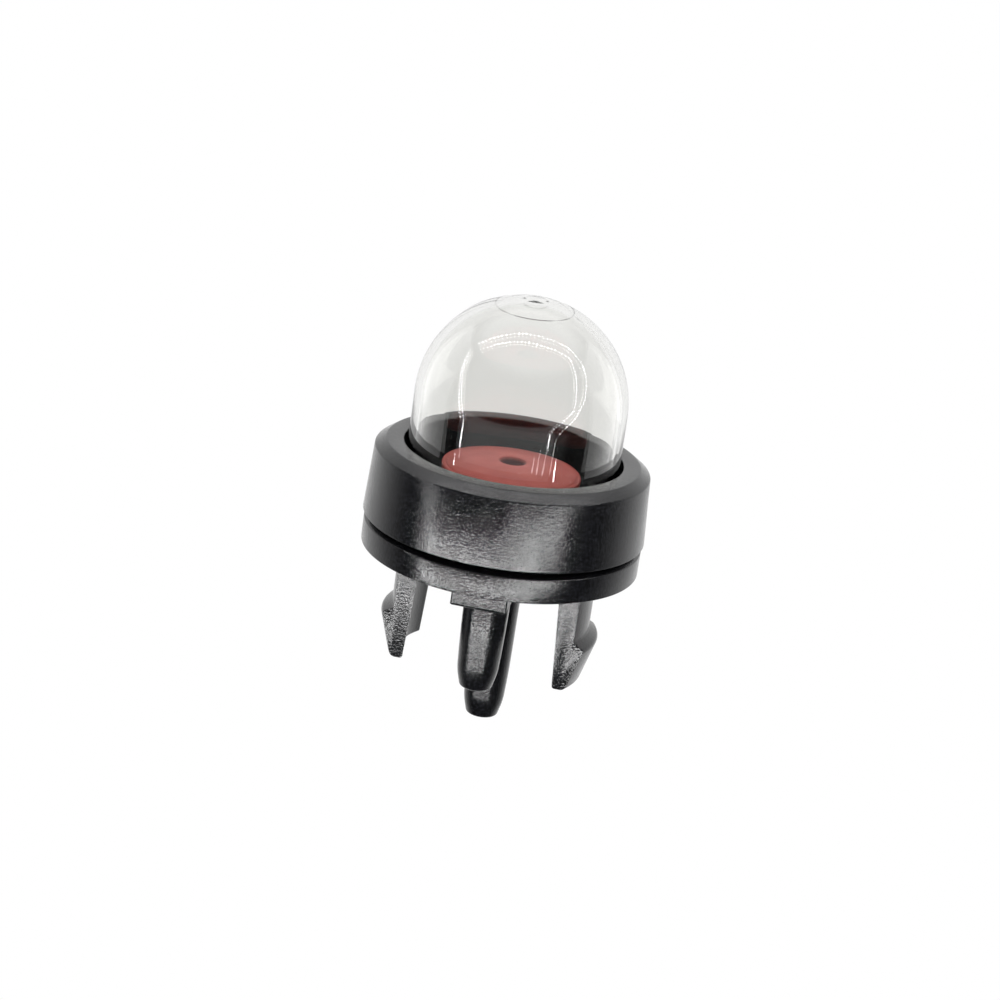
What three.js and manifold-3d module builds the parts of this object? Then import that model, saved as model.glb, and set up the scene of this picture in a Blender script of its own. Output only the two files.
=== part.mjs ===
// A snap-in primer bulb for a small engine, in millimetres, with +Z up.
// The origin is the centre of the flange's underside, which sits on the panel. The clear bulb
// points up, the two clips are at -X and +X, the short nozzle is at -Y and the long one at +Y.
import * as THREE from 'three';
import { mergeVertices } from 'three/addons/utils/BufferGeometryUtils.js';
import Module from 'manifold-3d';

const wasm = await Module();
wasm.setup();

// Bulb
const bulbRadius = 8.22;
const bulbWall = 0.6;
const bulbHeight = 14.7;           // from its rim's underside to the top of the dome
const rimWidth = 1.2;
const rimThickness = 0.8;
const rimClearance = 0.45;         // from the rim to the ring round it
const ceilingRadius = 3;           // the flat disc inside the top
const gateRadius = 1.05;           // the moulding gate's low nub
const gateHeight = 0.12;

// Retaining ring
const ringWall = 1.13;             // at its bottom edge, the widest place of the whole object
const ringDraft = 0.3;             // how much smaller the wall's top is
const ringHeight = 5.85;
const ringChamferWidth = 0.84;
const ringChamferHeight = 0.6;
const ringLandThickness = 1.75;    // the lip that holds the bulb's rim down
const lipClearance = 0.3;          // round the bulb
const ringEdge = 0.12;             // rounding of its upper edges

// Base
const flangeStep = 0.15;           // how much smaller it is than the ring
const flangeThickness = 2.1;
const flangeChamferWidth = 0.38;
const flangeChamferHeight = 0.2;
const seamGap = 0.4;               // the dark groove between flange and ring
const spigotClearance = 0.3;       // between the spigot and the ring
const snapReach = 0.22;            // how far the spigot's bead catches in the ring's groove
const snapWidth = 1.1;
const snapCrest = 0.25;            // the flat crest's share of that width
const barWidth = 4.36;
const barLength = 14.4;
const barDepth = 2.4;
const barEdge = 0.4;
const pedestalHeight = 0.45;

// Clips
const clipWidth = 6.2;
const clipInnerRadius = 6.25;
const clipLean = 0.5;              // how far the inner face moves out towards the tip
const clipThickness = 1.55;
const clipLength = 9.1;
const clipTipEdge = 0.3;
const hookReach = 0.85;            // how far the catch stands out
const hookTop = 5.1;               // depth of the catch below the panel face
const hookSlope = 0.4;             // how far the catch slopes down to its edge
const hookEdge = 0.4;
const hookTipInset = 1.03;         // how far the hook's face leans in down to the tip

// Nozzles
const nozzleRadius = 1.82;         // at the root
const nozzleWaist = 1.73;          // where the blunt end begins
const nozzleEnd = 4;               // length of the blunt end
const nozzleShoulder = 1.6;
const shoulderLength = 1.33;       // from the shoulder to the tip
const nozzleTip = 1.25;
const nozzleTipEdge = 0.3;
const nozzleBore = 1.2;
const crossWidth = 0.6;            // of the passage from the chamber to the long nozzle
const nozzleOffset = 2.75;         // from the axis
const shortNozzle = 10.3;
const longNozzle = 14.75;
const rootFlare = 0.4;             // how far the root's fillet stands out
const rootFillet = 0.39;           // its radius, a little less so that the arc ends before the corner

// Check valve
const valveRadius = 5.47;
const valveEdge = 0.55;            // height of the disc at its rim
const valveCrown = 1.2;            // height of the disc at its centre
const valveCurve = 0.2;            // how far the crown bulges above a straight cone
const valveOverhang = 0.32;        // from the seat's edge to the disc's rim
const valveRounding = 0.1;
const sealInset = 0.1;             // from the seat's edge to the ring that seals on it
const sealWidth = 0.4;
const valveHollow = 0.2;           // how far the disc lifts inside that ring
const stemFlare = 0.4;             // where the stem spreads into the disc
const valveBore = 1.9;
const stemRadius = 1.45;
const stemClearance = 0.3;
const stemHeadStep = 0.25;         // the shoulder that holds the stem in
const stemHeadHeight = 0.7;
const webThickness = 1.5;          // the wall that the stem passes through
const stemHeadGap = 0.1;           // from that wall's underside to the shoulder
const billLength = 2.6;
const billTip = 0.86;              // outside thickness of the closed lips
const billSlit = 0.14;
const billWall = 0.36;
const chamberClearance = 0.2;
const billClearance = 0.45;        // under the lips

const fine = 60;                   // facets round the large diameters
const coarse = 30;                 // facets round the nozzles and the stem
const overlap = 0.2;               // how far joined shapes run into each other
const overshoot = 1;               // how far a cutting shape runs past a face

// Places that follow from the sizes above
const ringBore = bulbRadius + rimWidth + rimClearance;
const ringRadius = ringBore + ringWall;
const ringBottom = flangeThickness + seamGap;
const ringTop = ringBottom + ringHeight;
const ringWallTop = ringTop - ringChamferHeight;
const landUnderside = ringTop - ringLandThickness;
const rimUnderside = landUnderside - rimThickness;
const bulbTop = rimUnderside + bulbHeight;
const domeCentre = bulbTop - bulbRadius;
const flangeRadius = ringRadius - flangeStep;
const spigotRadius = ringBore - spigotClearance;
const snapMiddle = (ringBottom + landUnderside) / 2;
const spigotTop = rimUnderside;
const pedestalRadius = valveRadius - valveOverhang;
const seat = spigotTop + pedestalHeight;
const webUnderside = seat - webThickness;
const stemHeadTop = webUnderside - stemHeadGap;
const billTop = stemHeadTop - stemHeadHeight;
const billBottom = billTop - billLength;
const chamberFloor = billBottom - billClearance;
const chamberRadius = stemRadius + stemHeadStep + chamberClearance;

// Turns an outline's sharp corners into arcs. A corner is [x, y] or [x, y, radius].
function outline(corners, steps = 4) {
  const points = [];
  corners.forEach(([x, y, radius], i) => {
    const corner = new THREE.Vector2(x, y);
    if (!radius) {
      points.push(corner);
      return;
    }
    const before = new THREE.Vector2(...corners.at(i - 1)).sub(corner).normalize();
    const after = new THREE.Vector2(...corners[(i + 1) % corners.length]).sub(corner).normalize();
    const halfAngle = Math.acos(THREE.MathUtils.clamp(before.dot(after), -1, 1)) / 2;
    const middle = before.clone().add(after).normalize();
    const centre = corner.clone().addScaledVector(middle, radius / Math.sin(halfAngle));
    const start = corner.clone().addScaledVector(before, radius / Math.tan(halfAngle));
    const end = corner.clone().addScaledVector(after, radius / Math.tan(halfAngle));
    const from = start.sub(centre).angle();
    let sweep = end.sub(centre).angle() - from;
    sweep -= 2 * Math.PI * Math.round(sweep / (2 * Math.PI));
    for (let step = 0; step <= steps; step++) {
      const angle = from + (sweep * step) / steps;
      points.push(new THREE.Vector2(Math.cos(angle), Math.sin(angle)).multiplyScalar(radius).add(centre));
    }
  });
  return points;
}

// A closed three.js geometry as a solid that can be joined and cut.
function solid(geometry) {
  geometry.deleteAttribute('normal');
  geometry.deleteAttribute('uv');
  const merged = mergeVertices(geometry, 1e-5);
  return new wasm.Manifold(new wasm.Mesh({
    numProp: 3,
    vertProperties: merged.attributes.position.array,
    triVerts: new Uint32Array(merged.index.array),
  }));
}

// A half-section of [radius, height] corners, turned about the Z axis.
function turned(corners, facets = fine, steps = 4) {
  const points = outline(corners, steps);
  if (THREE.ShapeUtils.area(points) < 0) {
    points.reverse();
  }
  points.push(points[0].clone());
  const geometry = new THREE.LatheGeometry(points, facets);
  geometry.rotateX(Math.PI / 2);
  return solid(geometry);
}

function cylinder(radius, bottom, top, facets = coarse) {
  return turned([[0, bottom], [radius, bottom], [radius, top], [0, top]], facets);
}

function box(minimum, maximum) {
  const low = new THREE.Vector3(...minimum);
  const size = new THREE.Vector3(...maximum).sub(low);
  const geometry = new THREE.BoxGeometry(size.x, size.y, size.z);
  const centre = low.addScaledVector(size, 0.5);
  geometry.translate(centre.x, centre.y, centre.z);
  return solid(geometry);
}

// A shape of [y, z] corners drawn across X, with its middle on the YZ plane.
function extrudedAcross(corners, width, steps = 4) {
  const shape = new THREE.Shape(outline(corners, steps));
  const geometry = new THREE.ExtrudeGeometry(shape, { depth: width, bevelEnabled: false });
  geometry.translate(0, 0, -width / 2);
  geometry.applyMatrix4(new THREE.Matrix4().makeBasis(
    new THREE.Vector3(0, 1, 0), new THREE.Vector3(0, 0, 1), new THREE.Vector3(1, 0, 0)));
  return solid(geometry);
}

// Both clips: one turned section, cut to two short arcs by a slab across the part.
function clips() {
  const outerRadius = clipInnerRadius + clipThickness;
  const hookRadius = outerRadius + hookReach;
  const section = turned([
    [clipInnerRadius, overlap],
    [clipInnerRadius + clipLean, -clipLength, clipTipEdge],
    [hookRadius - hookTipInset, -clipLength, clipTipEdge],
    [hookRadius, -hookTop - hookSlope, hookEdge],
    [outerRadius, -hookTop],
    [outerRadius, overlap],
  ]);
  const reach = hookRadius + overshoot;
  const low = [-reach, -clipWidth / 2, -clipLength - overshoot];
  const high = [reach, clipWidth / 2, overshoot];
  return section.intersect(box(low, high));
}

// One hose nozzle: a fillet at the root, a slight taper and a blunt, bullet-like end.
function nozzle(length, place) {
  return turned([
    [0, overlap],
    [nozzleRadius + rootFlare, overlap],
    [nozzleRadius + rootFlare, -barDepth],
    [nozzleRadius, -barDepth, rootFillet],
    [nozzleWaist, nozzleEnd - length],
    [nozzleShoulder, shoulderLength - length],
    [nozzleTip, -length, nozzleTipEdge],
    [0, -length],
  ], coarse).translate(0, place, 0);
}

function base() {
  const bead = snapWidth / 2;
  const crest = bead * snapCrest;
  const beadRadius = spigotRadius + spigotClearance + snapReach;
  const body = turned([
    [0, 0],
    [flangeRadius, 0],
    [flangeRadius, flangeThickness - flangeChamferHeight],
    [flangeRadius - flangeChamferWidth, flangeThickness],
    [spigotRadius, flangeThickness],
    [spigotRadius, snapMiddle - bead],
    [beadRadius, snapMiddle - crest],
    [beadRadius, snapMiddle + crest],
    [spigotRadius, snapMiddle + bead],
    [spigotRadius, spigotTop],
    [pedestalRadius, spigotTop],
    [pedestalRadius, seat],
    [0, seat],
  ]);
  const bar = extrudedAcross([
    [-barLength / 2, overlap],
    [-barLength / 2, -barDepth, barEdge],
    [barLength / 2, -barDepth, barEdge],
    [barLength / 2, overlap],
  ], barWidth);
  return body
    .add(bar)
    .add(clips())
    .add(nozzle(shortNozzle, -nozzleOffset))
    .add(nozzle(longNozzle, nozzleOffset))
    .subtract(passages());
}

// The inlet rises from the short nozzle to a port under the valve's disc. The outlet runs from the
// chamber round the duckbill through a short cross passage to the long nozzle.
function passages() {
  const boreRadius = nozzleBore / 2;
  const outletTop = chamberFloor + nozzleBore;
  const inlet = cylinder(boreRadius, -shortNozzle - overshoot, seat + overshoot);
  const outlet = cylinder(boreRadius, -longNozzle - overshoot, outletTop);
  const chamber = cylinder(chamberRadius, chamberFloor, webUnderside);
  const stemHole = cylinder(stemRadius + stemClearance, chamberFloor, seat + overshoot);
  const crossPassage = box([-crossWidth / 2, 0, chamberFloor], [crossWidth / 2, nozzleOffset, outletTop]);
  return inlet.translate(0, -nozzleOffset, 0)
    .add(outlet.translate(0, nozzleOffset, 0))
    .add(chamber)
    .add(stemHole)
    .add(crossPassage);
}

function retainingRing() {
  const groove = snapWidth / 2 + spigotClearance;
  const crest = groove * snapCrest;
  const grooveRadius = ringBore + snapReach + spigotClearance;
  const wallTopRadius = ringRadius - ringDraft;
  const lipRadius = bulbRadius + lipClearance;
  return turned([
    [ringBore, ringBottom],
    [ringRadius, ringBottom],
    [wallTopRadius, ringWallTop, ringEdge],
    [wallTopRadius - ringChamferWidth, ringTop],
    [lipRadius, ringTop, ringEdge],
    [lipRadius, landUnderside],
    [ringBore, landUnderside],
    [ringBore, snapMiddle + groove],
    [grooveRadius, snapMiddle + crest],
    [grooveRadius, snapMiddle - crest],
    [ringBore, snapMiddle - groove],
  ]);
}

// The bulb: a short straight skirt under half a sphere, with a flat disc inside the top.
function clearBulb() {
  const innerRadius = bulbRadius - bulbWall;
  const steps = 12;
  const arc = (radius, last) => Array.from({ length: steps + 1 }, (_, i) => {
    const angle = (last * i) / steps;
    return [radius * Math.cos(angle), domeCentre + radius * Math.sin(angle)];
  });
  const ceilingAngle = Math.acos(ceilingRadius / innerRadius);
  const gateAngle = Math.acos(gateRadius / bulbRadius);
  const ceiling = domeCentre + innerRadius * Math.sin(ceilingAngle);
  return turned([
    [innerRadius, rimUnderside],
    [bulbRadius + rimWidth, rimUnderside],
    [bulbRadius + rimWidth, landUnderside],
    [bulbRadius, landUnderside],
    ...arc(bulbRadius, gateAngle),
    [gateRadius, bulbTop + gateHeight],
    [0, bulbTop + gateHeight],
    [0, ceiling],
    ...arc(innerRadius, ceilingAngle).reverse(),
  ]);
}

// One rubber piece: the umbrella disc, its stem through the base's web, and the duckbill.
function checkValve() {
  const boreRadius = valveBore / 2;
  const headRadius = stemRadius + stemHeadStep;
  const crown = seat + valveCrown;
  const rim = seat + valveEdge;
  const sealRadius = pedestalRadius - sealInset;
  const bulge = [(boreRadius + valveRadius) / 2, (crown + rim) / 2 + valveCurve];
  const body = turned([
    [0, crown],
    [boreRadius, crown],
    bulge,
    [valveRadius, rim, valveRounding],
    [valveRadius, seat + valveHollow, valveRounding],
    [sealRadius, seat],
    [sealRadius - sealWidth, seat],
    [stemRadius + stemFlare, seat + valveHollow],
    [stemRadius, seat + valveHollow / 2],
    [stemRadius, stemHeadTop],
    [headRadius, stemHeadTop],
    [stemRadius, billTop],
    [0, billTop],
  ]);
  const bottom = billBottom - overshoot;
  const top = crown + overshoot;
  const joint = billTop + overlap;
  const lips = extrudedAcross([
    [-stemRadius, joint], [-billTip / 2, billBottom], [billTip / 2, billBottom], [stemRadius, joint],
  ], 2 * stemRadius).intersect(cylinder(stemRadius, bottom, joint));
  const slit = billSlit / 2;
  const slitTop = billBottom + billWall;
  const hollow = extrudedAcross([
    [-boreRadius, top], [-boreRadius, billTop], [-slit, slitTop], [-slit, bottom],
    [slit, bottom], [slit, slitTop], [boreRadius, billTop], [boreRadius, top],
  ], valveBore).intersect(cylinder(boreRadius, bottom, top));
  return body.add(lips).subtract(hollow);
}

function part(name, shape, material) {
  const { vertProperties, triVerts } = shape.getMesh();
  const geometry = new THREE.BufferGeometry();
  geometry.setAttribute('position', new THREE.BufferAttribute(vertProperties, 3));
  geometry.setIndex(new THREE.BufferAttribute(triVerts, 1));
  geometry.computeVertexNormals();
  const mesh = new THREE.Mesh(geometry, material);
  mesh.name = name;
  return mesh;
}

const blackPlastic = new THREE.MeshStandardMaterial({ color: 0x24262a, roughness: 0.45, metalness: 0 });
const clearPlastic = new THREE.MeshStandardMaterial({
  color: 0xf2f4f5, roughness: 0.08, metalness: 0, transparent: true, opacity: 0.3,
});
const brownRubber = new THREE.MeshStandardMaterial({ color: 0xa35f4f, roughness: 0.6, metalness: 0 });

const primerBulb = new THREE.Group();
primerBulb.add(
  part('base_body', base(), blackPlastic),
  part('retaining_ring', retainingRing(), blackPlastic),
  part('clear_bulb', clearBulb(), clearPlastic),
  part('check_valve', checkValve(), brownRubber),
);

export default primerBulb;
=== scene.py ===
"""A snap-in primer bulb: black moulded base and ring, clear squeeze dome, red-brown rubber valve."""
import math

import bmesh
import bpy
from mathutils import Matrix, Vector


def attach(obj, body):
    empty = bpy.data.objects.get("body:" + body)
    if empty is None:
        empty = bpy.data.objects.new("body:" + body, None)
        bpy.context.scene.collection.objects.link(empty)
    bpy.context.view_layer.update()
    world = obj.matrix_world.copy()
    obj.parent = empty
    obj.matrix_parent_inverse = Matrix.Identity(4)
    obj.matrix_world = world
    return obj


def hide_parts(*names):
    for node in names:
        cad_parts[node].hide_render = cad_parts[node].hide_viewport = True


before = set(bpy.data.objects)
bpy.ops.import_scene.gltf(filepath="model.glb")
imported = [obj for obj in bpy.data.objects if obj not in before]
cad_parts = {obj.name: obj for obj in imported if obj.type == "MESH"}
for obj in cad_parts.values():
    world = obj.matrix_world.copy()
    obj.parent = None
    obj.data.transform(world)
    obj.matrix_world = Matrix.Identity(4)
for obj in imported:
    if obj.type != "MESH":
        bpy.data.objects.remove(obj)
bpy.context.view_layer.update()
MM = 0.001

# Sizes are in millimetres, in the part's own frame: the flange's underside is at height 0

# The ring
RING_RADIUS = 11.0
RING_DRAFT = 0.3
RING_BOTTOM = 2.5
RING_TOP = 8.35
RING_WALL = 1.13
RING_LIP = 8.52
CHAMFER_WIDTH = 0.84
CHAMFER_HEIGHT = 0.6
LAND_UNDERSIDE = 6.6

# The snap, a bead on the spigot in a groove of the ring, with half of each one's width
SNAP_MIDDLE = 4.55
GROOVE_REACH = 0.52
GROOVE_MOUTH = 0.85
GROOVE_FLOOR = 0.21
BEAD_REACH = 0.52
BEAD_FOOT = 0.55
BEAD_CREST = 0.14

# The base
FLANGE_RADIUS = 10.85
FLANGE_TOP = 2.1
FLANGE_CHAMFER_WIDTH = 0.38
FLANGE_CHAMFER_HEIGHT = 0.2
SPIGOT_RADIUS = 9.57
SPIGOT_TOP = 5.8
PEDESTAL_RADIUS = 5.15
SEAT = 6.25
SUNK = 0.2              # how far the bar, clips and nozzles reach up into the flange
STEM_HOLE_RADIUS = 1.75
CHAMBER_RADIUS = 1.9
CHAMBER_FLOOR = 0.9
CHAMBER_TOP = 4.75
BAR_WIDTH = 4.36
BAR_LENGTH = 14.4
BAR_DEPTH = 2.4
CLIP_WIDTH = 6.2
CLIP_INNER = 6.25
CLIP_OUTER = 7.8
CLIP_TIP_INNER = 6.75
CLIP_TIP_OUTER = 7.62
CLIP_LENGTH = 9.1
CATCH_RADIUS = 8.64
CATCH_TOP = -5.1
CATCH_POINT = -5.55

# The nozzles
NOZZLE_OFFSET = 2.75
SHORT_NOZZLE = 10.3
LONG_NOZZLE = 14.75
NOZZLE_BORE = 0.6
NOZZLE_SUNK_RADIUS = 2.22
NOZZLE_ROOT_RADIUS = 1.82
NOZZLE_SHANK_RADIUS = 1.73
NOZZLE_TAPER_RADIUS = 1.6
NOZZLE_END_RADIUS = 1.25
NOZZLE_SHANK_END = 4.0     # from the nozzle's end, as the next
NOZZLE_TAPER_END = 1.33

# The bulb
BULB_RADIUS = 8.22
BULB_WALL = 0.6
BULB_TOP = 20.5
BULB_RIM_RADIUS = 9.42
GATE_RADIUS = 1.05
GATE_STEP = 0.22
GATE_RISE = 0.04
PAD_RADIUS = 2.85
PAD_DEPTH = 0.09
PAD_EDGE = 0.06
PAD_STEP = 0.5
PARTING_LINE = math.radians(-10.8)   # of the bulb's mould, from the X axis
PARTING_HEIGHT = 0.025

# The valve, with the disc's heights above its seat
VALVE_RADIUS = 5.47
VALVE_BORE = 0.95
STEM_RADIUS = 1.45
SHOULDER_RADIUS = 1.7
SHOULDER_HEIGHT = 4.55
DISC_CROWN = 1.2
DISC_EDGE = 0.55
DISC_LIFT = 0.15
BILL_ROOT = 3.95
BILL_TIP = 1.35
BILL_RINGS = (3.1, 2.2)
BILL_SQUASH = 0.7
SLIT_SQUASH = 0.92

# Facets round the large pieces, the nozzles and valve, and the holes
FACETS = 192
SMALL_FACETS = 96
HOLE_FACETS = 48


# Meshes

def section(corners):
    """A half-section in the XZ plane, as a bmesh of edges.

    A corner is (radius, height), and may add a rounding radius and that rounding's segments.
    """
    bm = bmesh.new()
    verts = [bm.verts.new((corner[0], 0, corner[1])) for corner in corners]
    bm.faces.new(verts)
    for vert, corner in zip(verts, corners):
        if len(corner) > 2:
            bmesh.ops.bevel(bm, geom=[vert], offset=corner[2], offset_type="OFFSET", affect="VERTICES",
                            segments=corner[3] if len(corner) > 3 else 5, profile=0.5, material=-1)
    bmesh.ops.delete(bm, geom=bm.faces[:], context="FACES_ONLY")
    return bm


def spun(corners, facets=FACETS):
    """The half-section turned about the Z axis into a closed solid."""
    bm = section(corners)
    bmesh.ops.spin(bm, geom=bm.edges[:], cent=(0, 0, 0), axis=(0, 0, 1), dvec=(0, 0, 0),
                   angle=2 * math.pi, steps=facets, use_merge=True, use_duplicate=False)
    bmesh.ops.remove_doubles(bm, verts=bm.verts[:], dist=0.0005)
    bmesh.ops.dissolve_degenerate(bm, edges=bm.edges[:], dist=0.0005)
    bmesh.ops.recalc_face_normals(bm, faces=bm.faces[:])
    return bm


def moved(bm, y=0, z=0):
    bmesh.ops.translate(bm, verts=bm.verts[:], vec=(0, y, z))
    return bm


def keep_between(bm, low, high):
    """Cuts a solid by the planes y = low and y = high, and closes the cuts."""
    for place, normal in ((low, (0, -1, 0)), (high, (0, 1, 0))):
        cut = bmesh.ops.bisect_plane(bm, geom=bm.verts[:] + bm.edges[:] + bm.faces[:], dist=1e-5,
                                     plane_co=(0, place, 0), plane_no=normal, clear_outer=True)
        edges = [item for item in cut["geom_cut"] if isinstance(item, bmesh.types.BMEdge)]
        bmesh.ops.holes_fill(bm, edges=edges, sides=0)


def rounded(bm, edges, radius, segments, limited=False):
    """Rounds edges, and where limited, less so where the roundings would run into each other."""
    bmesh.ops.bevel(bm, geom=edges, offset=radius, offset_type="OFFSET", affect="EDGES",
                    segments=segments, profile=0.5, material=-1, clamp_overlap=limited)


def combined(bm, others, operation):
    """A solid joined with, or cut by, each of the other solids."""
    shapes = []
    for number, shape in enumerate([bm] + others):
        mesh = bpy.data.meshes.new(f"shape_{number}")
        shape.to_mesh(mesh)
        shape.free()
        obj = bpy.data.objects.new(f"shape_{number}", mesh)
        bpy.context.scene.collection.objects.link(obj)
        shapes.append(obj)
    body = shapes[0]
    for other in shapes[1:]:
        boolean = body.modifiers.new(operation, "BOOLEAN")
        boolean.operation = operation
        boolean.solver = "EXACT"
        boolean.object = other
    result = bmesh.new()
    result.from_object(body, bpy.context.evaluated_depsgraph_get())
    for shape in shapes:
        mesh = shape.data
        bpy.data.objects.remove(shape)
        bpy.data.meshes.remove(mesh)
    return result


def piece(name, bm, material):
    """A finished mesh in metres, at the origin, riding on the part."""
    bmesh.ops.scale(bm, vec=(MM, MM, MM), verts=bm.verts[:])
    mesh = bpy.data.meshes.new(name)
    bm.to_mesh(mesh)
    bm.free()
    mesh.shade_smooth()
    mesh.set_sharp_from_angle(angle=math.radians(40))
    mesh.materials.append(material)
    obj = bpy.data.objects.new(name, mesh)
    bpy.context.scene.collection.objects.link(obj)
    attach(obj, "root")
    return obj


# Materials

def colour(code):
    """An sRGB hex code as linear RGBA."""
    parts = [int(code[i:i + 2], 16) / 255 for i in (0, 2, 4)]
    return (*[c / 12.92 if c <= 0.04045 else ((c + 0.055) / 1.055) ** 2.4 for c in parts], 1.0)


def node(tree, kind, inputs=None, **settings):
    """Adds a node, sets its properties, and fills its inputs with values or links."""
    made = tree.nodes.new(kind)
    for key, value in settings.items():
        setattr(made, key, value)
    for key, value in (inputs or {}).items():
        if isinstance(value, bpy.types.NodeSocket):
            tree.links.new(value, made.inputs[key])
        else:
            made.inputs[key].default_value = value
    return made


def new_material(name):
    material = bpy.data.materials.new(name)
    material.use_nodes = True
    tree = material.node_tree
    tree.nodes.clear()
    return material, tree


def set_ramp(ramp, *stops):
    """Gives a colour ramp's two stops their places and hex codes."""
    for element, (place, code) in zip(ramp.elements, stops):
        element.position = place
        element.color = colour(code)


def per_metre(size_mm):
    """The scale of a pattern whose features are that size."""
    return 1 / (size_mm * MM)


# The real grain is nearer 0.05 mm; at 0.14 mm it still shows in the render
NYLON_GRAIN = 0.14
NYLON_GRAIN_DEPTH = 0.019
NYLON_BLOTCH = 2.0
NYLON_GRAIN_SHARE = 0.7


def moulded_nylon():
    """Black glass-filled nylon from a spark-eroded mould: a satin skin whose grain sparkles."""
    material, tree = new_material("black_moulded_nylon")
    place = node(tree, "ShaderNodeTexCoord").outputs["Object"]
    grain = node(tree, "ShaderNodeTexNoise", {
        "Vector": place, "Scale": per_metre(NYLON_GRAIN), "Detail": 1.0, "Roughness": 0.5}).outputs["Fac"]
    blotch = node(tree, "ShaderNodeTexNoise", {
        "Vector": place, "Scale": per_metre(NYLON_BLOTCH), "Detail": 3.0}).outputs["Fac"]
    mixed = node(tree, "ShaderNodeMath", {0: grain, 1: NYLON_GRAIN_SHARE, 2: blotch},
                 operation="MULTIPLY_ADD").outputs["Value"]
    rough = node(tree, "ShaderNodeMapRange", {
        "Value": mixed, "From Min": 0.6, "From Max": 1.1, "To Min": 0.1, "To Max": 0.24})
    fleck = node(tree, "ShaderNodeValToRGB", {"Fac": grain})
    set_ramp(fleck.color_ramp, (0.45, "070708"), (0.72, "1d1e22"))
    bump = node(tree, "ShaderNodeBump", {
        "Height": grain, "Strength": 1.0, "Distance": NYLON_GRAIN_DEPTH * MM})
    skin = node(tree, "ShaderNodeBsdfPrincipled", {
        "Base Color": fleck.outputs["Color"], "Roughness": rough.outputs["Result"], "IOR": 1.48,
        "Normal": bump.outputs["Normal"]})
    node(tree, "ShaderNodeOutputMaterial", {"Surface": skin.outputs["BSDF"]})
    return material


BULB_WAVES = 3.5
BULB_WAVE_DEPTH = 0.03


def clear_polyurethane():
    """Clear moulded polyurethane: glossy and faintly grey, with the bulb's real wall bending the light."""
    material, tree = new_material("clear_moulded_polyurethane")
    place = node(tree, "ShaderNodeTexCoord").outputs["Object"]
    waves = node(tree, "ShaderNodeTexNoise", {
        "Vector": place, "Scale": per_metre(BULB_WAVES), "Detail": 1.0})
    bump = node(tree, "ShaderNodeBump", {
        "Height": waves.outputs["Fac"], "Strength": 0.15, "Distance": BULB_WAVE_DEPTH * MM})
    skin = node(tree, "ShaderNodeBsdfPrincipled", {
        "Base Color": colour("f3f3f1"), "Roughness": 0.02, "IOR": 1.48, "Transmission Weight": 1.0,
        "Normal": bump.outputs["Normal"]})
    node(tree, "ShaderNodeOutputMaterial", {"Surface": skin.outputs["BSDF"]})
    return material


RUBBER_BLOOM = 1.4
RUBBER_GRAIN = 0.12
RUBBER_GRAIN_DEPTH = 0.01
# How far out from and in past the bore's wall the painted shade in the bore fades in
BORE_SHADE_OUTER = 0.12
BORE_SHADE_INNER = 0.02


def moulded_rubber():
    """Red-brown moulded fluoro-rubber: matt, with a faint bloom, and painted shade darkening the bore."""
    material, tree = new_material("brown_moulded_rubber")
    place = node(tree, "ShaderNodeTexCoord").outputs["Object"]
    bloom = node(tree, "ShaderNodeTexNoise", {
        "Vector": place, "Scale": per_metre(RUBBER_BLOOM), "Detail": 4.0})
    shade = node(tree, "ShaderNodeValToRGB", {"Fac": bloom.outputs["Fac"]})
    set_ramp(shade.color_ramp, (0.3, "b94f46"), (0.7, "c85f55"))
    across = node(tree, "ShaderNodeVectorMath", {0: place, 1: (1, 1, 0)},
                  operation="MULTIPLY").outputs["Vector"]
    radius = node(tree, "ShaderNodeVectorMath", {0: across}, operation="LENGTH").outputs["Value"]
    # Painted shade: the bore and a thin ring round its mouth are darkened to 52130f in the base colour
    bore = node(tree, "ShaderNodeMapRange", {
        "Value": radius, "From Min": (VALVE_BORE + BORE_SHADE_OUTER) * MM,
        "From Max": (VALVE_BORE - BORE_SHADE_INNER) * MM})
    bore_shade = node(tree, "ShaderNodeMix", {
        "Factor": bore.outputs["Result"], "A": shade.outputs["Color"], "B": colour("52130f")},
        data_type="RGBA")
    grain = node(tree, "ShaderNodeTexNoise", {
        "Vector": place, "Scale": per_metre(RUBBER_GRAIN), "Detail": 2.0})
    bump = node(tree, "ShaderNodeBump", {
        "Height": grain.outputs["Fac"], "Strength": 0.3, "Distance": RUBBER_GRAIN_DEPTH * MM})
    skin = node(tree, "ShaderNodeBsdfPrincipled", {
        "Base Color": bore_shade.outputs["Result"], "Roughness": 0.5, "IOR": 1.45,
        "Normal": bump.outputs["Normal"]})
    node(tree, "ShaderNodeOutputMaterial", {"Surface": skin.outputs["BSDF"]})
    return material


# The camera, solved from the ring's and flange's round edges in the photograph

CAMERA_AZIMUTH = math.radians(8.2115)
CAMERA_ELEVATION = math.radians(17.7964)
CAMERA_ROLL = math.radians(8.2635)
CAMERA_DISTANCE = 192.3
AIM_HEIGHT = 6.0
AIM_PIXEL = (510.04, 479.46)
PIXELS_PER_MM = 12.9493
FRAME_PIXELS = 1000
SENSOR = 36.0


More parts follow.
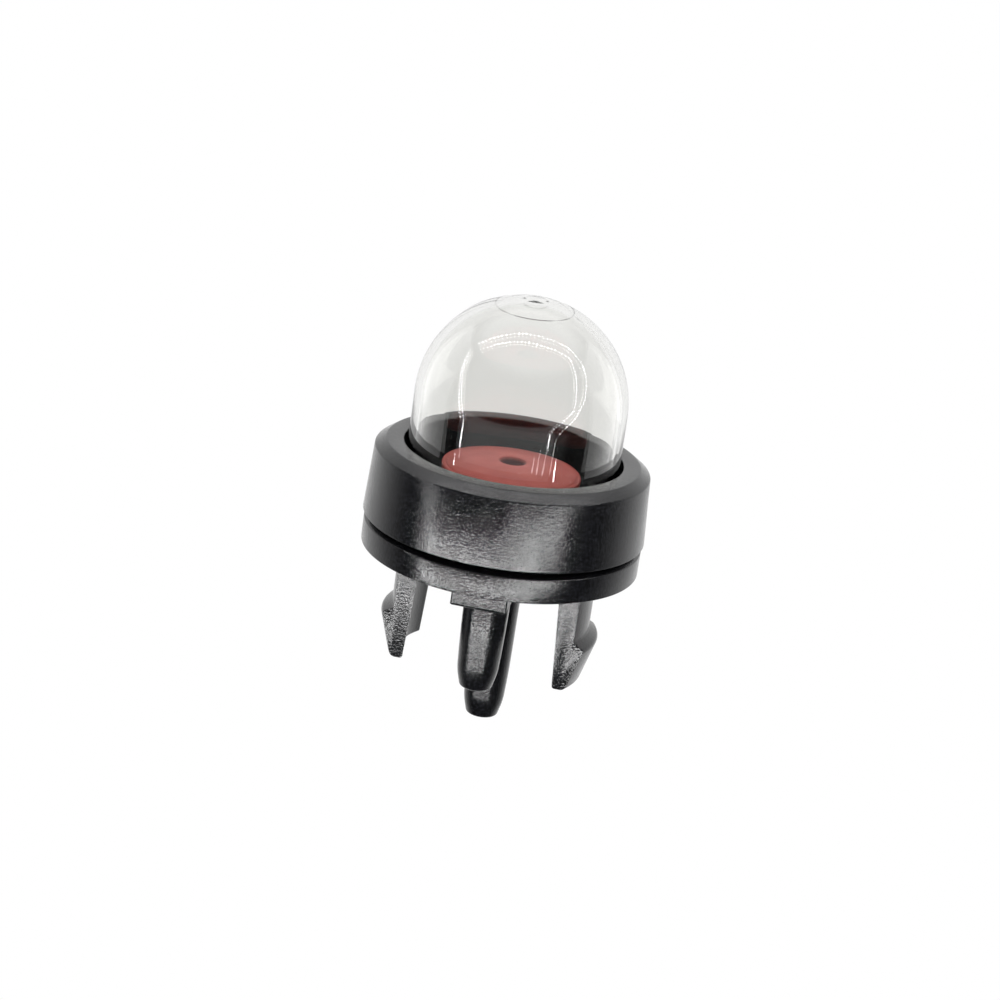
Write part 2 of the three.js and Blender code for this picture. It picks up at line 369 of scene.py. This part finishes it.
def camera():
    sin_a, cos_a = math.sin(CAMERA_AZIMUTH), math.cos(CAMERA_AZIMUTH)
    sin_e, cos_e = math.sin(CAMERA_ELEVATION), math.cos(CAMERA_ELEVATION)
    sin_r, cos_r = math.sin(CAMERA_ROLL), math.cos(CAMERA_ROLL)
    back = Vector((sin_a * cos_e, -cos_a * cos_e, sin_e))
    right = Vector((cos_a, sin_a, 0))
    up = back.cross(right)
    turn = Matrix((cos_r * right + sin_r * up, cos_r * up - sin_r * right, back)).transposed()
    place = Vector((0, 0, AIM_HEIGHT)) + CAMERA_DISTANCE * back
    data = bpy.data.cameras.new("photo_camera")
    data.sensor_width = SENSOR
    data.lens = SENSOR * PIXELS_PER_MM * CAMERA_DISTANCE / FRAME_PIXELS
    data.shift_x = -(AIM_PIXEL[0] - FRAME_PIXELS / 2) / FRAME_PIXELS
    data.shift_y = (AIM_PIXEL[1] - FRAME_PIXELS / 2) / FRAME_PIXELS
    data.clip_start = 0.01
    obj = bpy.data.objects.new("photo_camera", data)
    obj.matrix_world = Matrix.Translation(place * MM) @ turn.to_4x4()
    bpy.context.scene.collection.objects.link(obj)
    bpy.context.scene.camera = obj


camera()
nylon = moulded_nylon()
polyurethane = clear_polyurethane()
rubber = moulded_rubber()


# The retaining ring

def retaining_ring():
    wall_top = RING_TOP - CHAMFER_HEIGHT
    bore = RING_RADIUS - RING_WALL
    top_radius = RING_RADIUS - RING_DRAFT
    groove = bore + GROOVE_REACH
    return spun([
        (bore, RING_BOTTOM, 0.08), (RING_RADIUS, RING_BOTTOM, 0.06), (top_radius, wall_top, 0.07),
        (top_radius - CHAMFER_WIDTH, RING_TOP, 0.06), (RING_LIP, RING_TOP, 0.08),
        (RING_LIP, LAND_UNDERSIDE), (bore, LAND_UNDERSIDE), (bore, SNAP_MIDDLE + GROOVE_MOUTH),
        (groove, SNAP_MIDDLE + GROOVE_FLOOR), (groove, SNAP_MIDDLE - GROOVE_FLOOR),
        (bore, SNAP_MIDDLE - GROOVE_MOUTH),
    ])


ring = piece("retaining_ring_moulding", retaining_ring(), nylon)
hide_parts("retaining_ring")


# The base: flange and spigot, key bar, clips and nozzles

def clips():
    """Both clips, cut from one turned section, with their long edges rounded."""
    bm = spun([
        (CLIP_INNER, SUNK), (CLIP_TIP_INNER, -CLIP_LENGTH, 0.2), (CLIP_TIP_OUTER, -CLIP_LENGTH, 0.3),
        (CATCH_RADIUS, CATCH_POINT, 0.3), (CLIP_OUTER, CATCH_TOP, 0.06), (CLIP_OUTER, SUNK),
    ])
    keep_between(bm, -CLIP_WIDTH / 2, CLIP_WIDTH / 2)
    edges = [edge for edge in bm.edges
             if edge.is_manifold and edge.calc_face_angle(0) > math.radians(50)
             and all(abs(abs(vert.co.y) - CLIP_WIDTH / 2) < 1e-3 for vert in edge.verts)
             and edge.verts[0].co.z < SUNK / 2]
    rounded(bm, edges, 0.16, 3, limited=True)
    return bm


def key_bar():
    bm = bmesh.new()
    bmesh.ops.create_cube(bm, size=1)
    bmesh.ops.scale(bm, vec=(BAR_WIDTH, BAR_LENGTH, BAR_DEPTH + SUNK), verts=bm.verts[:])
    moved(bm, z=-(BAR_DEPTH - SUNK) / 2)
    low = [edge for edge in bm.edges if all(vert.co.z < 0 for vert in edge.verts)]
    rounded(bm, low, 0.3, 4)
    upright = [edge for edge in bm.edges if abs(edge.verts[0].co.z - edge.verts[1].co.z) > 1]
    rounded(bm, upright, 0.2, 3)
    return bm


def nozzle(length, y):
    root = -BAR_DEPTH
    return moved(spun([
        (0, SUNK), (NOZZLE_SUNK_RADIUS, SUNK), (NOZZLE_SUNK_RADIUS, root),
        (NOZZLE_ROOT_RADIUS, root, 0.38, 6), (NOZZLE_SHANK_RADIUS, NOZZLE_SHANK_END - length, 1, 6),
        (NOZZLE_TAPER_RADIUS, NOZZLE_TAPER_END - length, 0.5, 5),
        (NOZZLE_END_RADIUS, -length, 0.22), (0, -length),
    ], SMALL_FACETS), y=y)


def cylinder(radius, low, high, y=0):
    return moved(spun([(0, low), (radius, low), (radius, high), (0, high)], HOLE_FACETS), y=y)


def base():
    bead = SPIGOT_RADIUS + BEAD_REACH
    shoulder = FLANGE_RADIUS - FLANGE_CHAMFER_WIDTH
    above = SEAT + 1
    flange = spun([
        (0, 0), (FLANGE_RADIUS, 0, 0.08), (FLANGE_RADIUS, FLANGE_TOP - FLANGE_CHAMFER_HEIGHT, 0.06),
        (shoulder, FLANGE_TOP, 0.05), (SPIGOT_RADIUS, FLANGE_TOP), (SPIGOT_RADIUS, SNAP_MIDDLE - BEAD_FOOT),
        (bead, SNAP_MIDDLE - BEAD_CREST), (bead, SNAP_MIDDLE + BEAD_CREST),
        (SPIGOT_RADIUS, SNAP_MIDDLE + BEAD_FOOT), (SPIGOT_RADIUS, SPIGOT_TOP),
        (PEDESTAL_RADIUS, SPIGOT_TOP, 0.1), (PEDESTAL_RADIUS, SEAT, 0.08), (0, SEAT),
    ])
    solid = combined(flange, [
        key_bar(), clips(), nozzle(SHORT_NOZZLE, -NOZZLE_OFFSET), nozzle(LONG_NOZZLE, NOZZLE_OFFSET),
    ], "UNION")
    return combined(solid, [
        cylinder(NOZZLE_BORE, -SHORT_NOZZLE - 1, above, -NOZZLE_OFFSET),
        cylinder(NOZZLE_BORE, -LONG_NOZZLE - 1, FLANGE_TOP, NOZZLE_OFFSET),
        cylinder(STEM_HOLE_RADIUS, CHAMBER_FLOOR, above),
        cylinder(CHAMBER_RADIUS, CHAMBER_FLOOR, CHAMBER_TOP),
    ], "DIFFERENCE")


base_moulding = piece("base_moulding", base(), nylon)
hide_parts("base_body")


# The clear bulb

def arc_points(radius, centre, last, count):
    """Points along a circle in the half-section, from its widest place up to the angle last."""
    angles = [last * i / count for i in range(count + 1)]
    return [(radius * math.cos(angle), centre + radius * math.sin(angle)) for angle in angles]


def clear_bulb():
    """The dome with its rim below, the low nub of its gate on top, and a thin pad inside under the nub."""
    inner = BULB_RADIUS - BULB_WALL
    centre = BULB_TOP - BULB_RADIUS
    pad_inner = inner - PAD_DEPTH
    pad_radii = [PAD_STEP * i for i in range(6)] + [PAD_RADIUS - PAD_EDGE]
    pad_arc = [(radius, centre + math.sqrt(pad_inner ** 2 - radius ** 2)) for radius in pad_radii]
    outer_arc = arc_points(BULB_RADIUS, centre, math.acos(GATE_RADIUS / BULB_RADIUS), 40)
    inner_arc = arc_points(inner, centre, math.acos(PAD_RADIUS / inner), 32)
    bm = spun([
        (inner, SPIGOT_TOP), (BULB_RIM_RADIUS, SPIGOT_TOP), (BULB_RIM_RADIUS, LAND_UNDERSIDE),
        (BULB_RADIUS, LAND_UNDERSIDE, 0.1), *outer_arc, (GATE_RADIUS - GATE_STEP, BULB_TOP, 0.08),
        (0, BULB_TOP + GATE_RISE), *pad_arc, *reversed(inner_arc),
    ])
    # The mould's parting line: one column of points on the outside stands out by a hair
    for vert in bm.verts:
        out = Vector((vert.co.x, vert.co.y, max(vert.co.z - centre, 0)))
        turn = math.atan2(vert.co.y, vert.co.x) - PARTING_LINE
        on_line = abs(math.remainder(turn, math.pi)) < math.pi / FACETS * 0.9
        outside = abs(out.length - BULB_RADIUS) < 0.01
        on_wall = out.xy.length > PAD_RADIUS + 0.3 and vert.co.z > LAND_UNDERSIDE + 0.2
        if on_line and outside and on_wall:
            vert.co += out.normalized() * PARTING_HEIGHT
    return bm


bulb = piece("clear_bulb_moulding", clear_bulb(), polyurethane)
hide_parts("clear_bulb")


# The valve: umbrella disc, stem and duckbill

def check_valve():
    crown = SEAT + DISC_CROWN
    edge = SEAT + DISC_EDGE
    bill_outside = [(STEM_RADIUS, height) for height in (BILL_ROOT, *BILL_RINGS, BILL_TIP)]
    bill_inside = [(VALVE_BORE, height) for height in (BILL_TIP, *reversed(BILL_RINGS), BILL_ROOT)]
    bm = spun([
        (VALVE_BORE, crown - 0.3), (VALVE_BORE + 0.12, crown, 0.08), (VALVE_RADIUS * 0.55, crown - 0.16, 2),
        # The groove near the disc's rim
        (VALVE_RADIUS - 0.42, edge + 0.13), (VALVE_RADIUS - 0.3, edge + 0.03),
        (VALVE_RADIUS - 0.2, edge + 0.05, 0.04),
        (VALVE_RADIUS, edge - 0.02, 0.1), (VALVE_RADIUS, SEAT + DISC_LIFT, 0.1),
        # The sealing lip on the seat, and the hollow inside it
        (PEDESTAL_RADIUS - 0.1, SEAT), (PEDESTAL_RADIUS - 0.5, SEAT), (STEM_RADIUS + 0.4, SEAT + 0.2),
        (STEM_RADIUS, SEAT + 0.1), (STEM_RADIUS, SHOULDER_HEIGHT + 0.1),
        (SHOULDER_RADIUS, SHOULDER_HEIGHT, 0.05), *bill_outside, *bill_inside,
    ], SMALL_FACETS)
    # The duckbill: the round tube is squashed more and more towards its tip
    for vert in bm.verts:
        if vert.co.z < BILL_ROOT - 0.01:
            share = (BILL_ROOT - vert.co.z) / (BILL_ROOT - BILL_TIP)
            outside = math.hypot(vert.co.x, vert.co.y) > (VALVE_BORE + STEM_RADIUS) / 2
            vert.co.y *= 1 - share * (BILL_SQUASH if outside else SLIT_SQUASH)
    return bm


valve = piece("check_valve_moulding", check_valve(), rubber)
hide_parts("check_valve")


# Stage: a white floor that only the camera sees

FLOOR_HEIGHT = -22.0
FLOOR_REACH = 3000.0


def floor():
    bm = bmesh.new()
    bmesh.ops.create_grid(bm, x_segments=1, y_segments=1, size=FLOOR_REACH * MM)
    mesh = bpy.data.meshes.new("floor")
    bm.to_mesh(mesh)
    bm.free()
    material, tree = new_material("white_paper")
    glow = node(tree, "ShaderNodeEmission", {"Color": (1, 1, 1, 1), "Strength": 1.0})
    # Seen from below it is clear, so that it doesn't hide the underside
    clear = node(tree, "ShaderNodeBsdfTransparent", {"Color": (1, 1, 1, 1)})
    below = node(tree, "ShaderNodeNewGeometry").outputs["Backfacing"]
    sheet = node(tree, "ShaderNodeMixShader", {
        0: below, 1: glow.outputs["Emission"], 2: clear.outputs["BSDF"]})
    node(tree, "ShaderNodeOutputMaterial", {"Surface": sheet.outputs["Shader"]})
    mesh.materials.append(material)
    obj = bpy.data.objects.new("floor", mesh)
    obj.location.z = FLOOR_HEIGHT * MM
    obj.visible_glossy = False
    obj.visible_diffuse = False
    obj.visible_transmission = False
    obj.visible_shadow = False
    bpy.context.scene.collection.objects.link(obj)


# The studio's own light, by direction: towards is 1 at the camera, and height is the sine of the elevation

TENT_GLOW = 0.98
FRONT_GLOW = 0.04
BAND_GLOW = 0.25
CEILING_GLOW = 1.0
TENT_EDGE = (-0.7, 0.2)
BAND_SIDES = (0.45, 0.65)
BAND_FOOT = (-0.46, -0.38)
BAND_HEAD = (-0.22, -0.28)
CEILING_EDGE = (0.6, 0.85)


def studio():
    """White all round behind the part, dim on the camera's side, and a faint band low in front of it."""
    world = bpy.data.worlds.new("light_tent")
    bpy.context.scene.world = world
    world.use_nodes = True
    tree = world.node_tree
    tree.nodes.clear()
    way = node(tree, "ShaderNodeTexCoord").outputs["Generated"]
    front = (math.sin(CAMERA_AZIMUTH), -math.cos(CAMERA_AZIMUTH), 0)
    towards = node(tree, "ShaderNodeVectorMath", {0: way, 1: front}, operation="DOT_PRODUCT").outputs["Value"]
    height = node(tree, "ShaderNodeSeparateXYZ", {"Vector": way}).outputs["Z"]
    tent = node(tree, "ShaderNodeMapRange", {
        "Value": towards, "From Min": TENT_EDGE[0], "From Max": TENT_EDGE[1],
        "To Min": TENT_GLOW, "To Max": FRONT_GLOW}, interpolation_type="SMOOTHSTEP")
    ahead = node(tree, "ShaderNodeMapRange", {
        "Value": towards, "From Min": BAND_SIDES[0], "From Max": BAND_SIDES[1]},
        interpolation_type="SMOOTHSTEP")
    above = node(tree, "ShaderNodeMapRange", {
        "Value": height, "From Min": BAND_FOOT[0], "From Max": BAND_FOOT[1]},
        interpolation_type="SMOOTHSTEP")
    below = node(tree, "ShaderNodeMapRange", {
        "Value": height, "From Min": BAND_HEAD[0], "From Max": BAND_HEAD[1]},
        interpolation_type="SMOOTHSTEP")
    band = node(tree, "ShaderNodeMath", {0: above.outputs["Result"], 1: below.outputs["Result"]},
                operation="MULTIPLY")
    band = node(tree, "ShaderNodeMath", {0: band.outputs["Value"], 1: ahead.outputs["Result"]},
                operation="MULTIPLY")
    walls = node(tree, "ShaderNodeMath", {
        0: band.outputs["Value"], 1: BAND_GLOW, 2: tent.outputs["Result"]}, operation="MULTIPLY_ADD")
    ceiling = node(tree, "ShaderNodeMapRange", {
        "Value": height, "From Min": CEILING_EDGE[0], "From Max": CEILING_EDGE[1],
        "To Max": CEILING_GLOW}, interpolation_type="SMOOTHSTEP")
    total = node(tree, "ShaderNodeMath", {0: walls.outputs["Value"], 1: ceiling.outputs["Result"]},
                 operation="ADD")
    seen = node(tree, "ShaderNodeLightPath").outputs["Is Camera Ray"]
    strength = node(tree, "ShaderNodeMix", {"Factor": seen, "A": total.outputs["Value"], "B": 1.0})
    glow = node(tree, "ShaderNodeBackground", {"Color": (1, 1, 1, 1), "Strength": strength.outputs["Result"]})
    node(tree, "ShaderNodeOutputWorld", {"Surface": glow.outputs["Background"]})


def direction(azimuth, elevation):
    """A unit vector from angles in degrees, with its azimuth counted from the camera's."""
    turn = CAMERA_AZIMUTH + math.radians(azimuth)
    rise = math.radians(elevation)
    return Vector((math.sin(turn) * math.cos(rise), -math.cos(turn) * math.cos(rise), math.sin(rise)))


def facing(way, distance):
    """The matrix, in metres, of a thing that far from the aim point along a direction, and turned to it."""
    place = Matrix.Translation((Vector((0, 0, AIM_HEIGHT)) + way * distance) * MM)
    return place @ way.to_track_quat("Z", "Y").to_matrix().to_4x4()


# The lamps' lines of diodes, as (azimuth, elevation) from the part
DIODE_LINES = {
    "left": [(-92, 40), (-80, 26), (-71.6, 14.5), (-64, -5), (-61, -14)],
    "left_inner": [(-87, 39), (-76, 25), (-68, 13.5), (-60.5, -5), (-57.5, -14)],
    "top_outer": [(-92.7, 48), (-91, 64), (-98, 81), (91, 78), (95, 57)],
    "top_inner": [(-81, 47), (-72, 62), (-44, 77.5), (56, 73), (79.6, 54.4)],
    "right_outer": [(95, 57), (91, 46), (85, 35), (72.4, 17.5), (58, 1.7), (46, -8), (43, -14)],
    "right_inner": [(79.6, 54.4), (75, 45.4), (65, 27.5), (56.4, 8.4), (38, -6), (33, -14)],
}
# The lines' ends, close together, which the bulb's straight skirt draws out into streaks
DIODE_ENDS = {
    "left": [(-61, -14), (-60.5, -22)],
    "right": [(43, -14), (42, -22)],
    "middle": [(35, -14), (33.5, -22)],
    "centre": [(28, -15), (26, -22)],
    "inner": [(22.5, -16), (21.5, -20)],
}
DIODE_DISTANCE = 150.0
DIODE_SPACING = 8.4
DIODE_END_SPACING = 3.0
DIODE_SIZE = 3.6
DIODE_GLOW = 46.0


def diodes():
    """All the diodes as one glowing mesh that the camera doesn't see."""
    bm = bmesh.new()
    lines = [(line, DIODE_SPACING) for line in DIODE_LINES.values()]
    lines += [(line, DIODE_END_SPACING) for line in DIODE_ENDS.values()]
    for corners, spacing in lines:
        points = [direction(*corner) * DIODE_DISTANCE for corner in corners]
        along = 0.0
        for start, end in zip(points, points[1:]):
            length = (end - start).length
            while along < length:
                way = start.lerp(end, along / length).normalized()
                bmesh.ops.create_circle(bm, cap_ends=True, segments=6, radius=DIODE_SIZE / 2 * MM,
                                        matrix=facing(way, DIODE_DISTANCE))
                along += spacing
            along -= length
    mesh = bpy.data.meshes.new("diodes")
    bm.to_mesh(mesh)
    bm.free()
    material, tree = new_material("lit_diodes")
    glow = node(tree, "ShaderNodeEmission", {"Color": (1, 1, 1, 1), "Strength": DIODE_GLOW})
    node(tree, "ShaderNodeOutputMaterial", {"Surface": glow.outputs["Emission"]})
    mesh.materials.append(material)
    obj = bpy.data.objects.new("diodes", mesh)
    obj.visible_camera = False
    obj.visible_shadow = False
    bpy.context.scene.collection.objects.link(obj)


# Far lights that shine on some pieces only. Places, widths and heights are in degrees from the part
LIGHT_DISTANCE = 400.0
FRONT_LAMPS = 9
FRONT_LAMP_START = -58
FRONT_LAMP_STEP = 10.5
FRONT_LAMP_ROWS = (-21, -25)
FRONT_LAMP_SIZE = (3.2, 2.6)
FRONT_LAMP_RADIANCE = 72
RIGHT_LAMPS = 5
RIGHT_LAMP_START = 8
RIGHT_LAMP_STEP = 9.5
RIGHT_LAMP_ROW = -11.5
RIGHT_LAMP_SIZE = (3.2, 3.2)
RIGHT_LAMP_RADIANCE = 48


def light(name, place, size, radiance, receivers):
    """A rectangular light of a given radiance that shines on the given pieces."""
    width, height = [2 * LIGHT_DISTANCE * math.tan(math.radians(angle / 2)) for angle in size]
    data = bpy.data.lights.new(name, "AREA")
    data.shape = "RECTANGLE"
    data.size = width * MM
    data.size_y = height * MM
    data.energy = radiance * math.pi * width * height * MM * MM
    obj = bpy.data.objects.new(name, data)
    obj.matrix_world = facing(direction(*place), LIGHT_DISTANCE)
    obj.visible_camera = False
    bpy.context.scene.collection.objects.link(obj)
    obj.light_linking.receiver_collection = receivers


def collected(name, pieces):
    collection = bpy.data.collections.new(name)
    for obj in pieces:
        collection.objects.link(obj)
    return collection


def lamps():
    """Small lamps low in front that light the black grain, and broad glows that the bulb alone mirrors."""
    black_pieces = collected("black_pieces", [ring, base_moulding])
    clear_pieces = collected("clear_pieces", [bulb])
    for column in range(FRONT_LAMPS):
        for row, elevation in enumerate(FRONT_LAMP_ROWS):
            place = (FRONT_LAMP_START + FRONT_LAMP_STEP * column, elevation)
            light(f"lamp_front_{column}_{row}", place, FRONT_LAMP_SIZE, FRONT_LAMP_RADIANCE, black_pieces)
    for column in range(RIGHT_LAMPS):
        place = (RIGHT_LAMP_START + RIGHT_LAMP_STEP * column, RIGHT_LAMP_ROW)
        light(f"lamp_right_{column}", place, RIGHT_LAMP_SIZE, RIGHT_LAMP_RADIANCE, black_pieces)
    light("glow_low", (-12, -18), (100, 16), 0.55, clear_pieces)
    light("glow_left", (-108, 0), (50, 80), 0.8, clear_pieces)
    light("glow_right", (108, 0), (50, 80), 0.8, clear_pieces)


floor()
studio()
diodes()
lamps()

bpy.context.scene.view_settings.view_transform = "Standard"
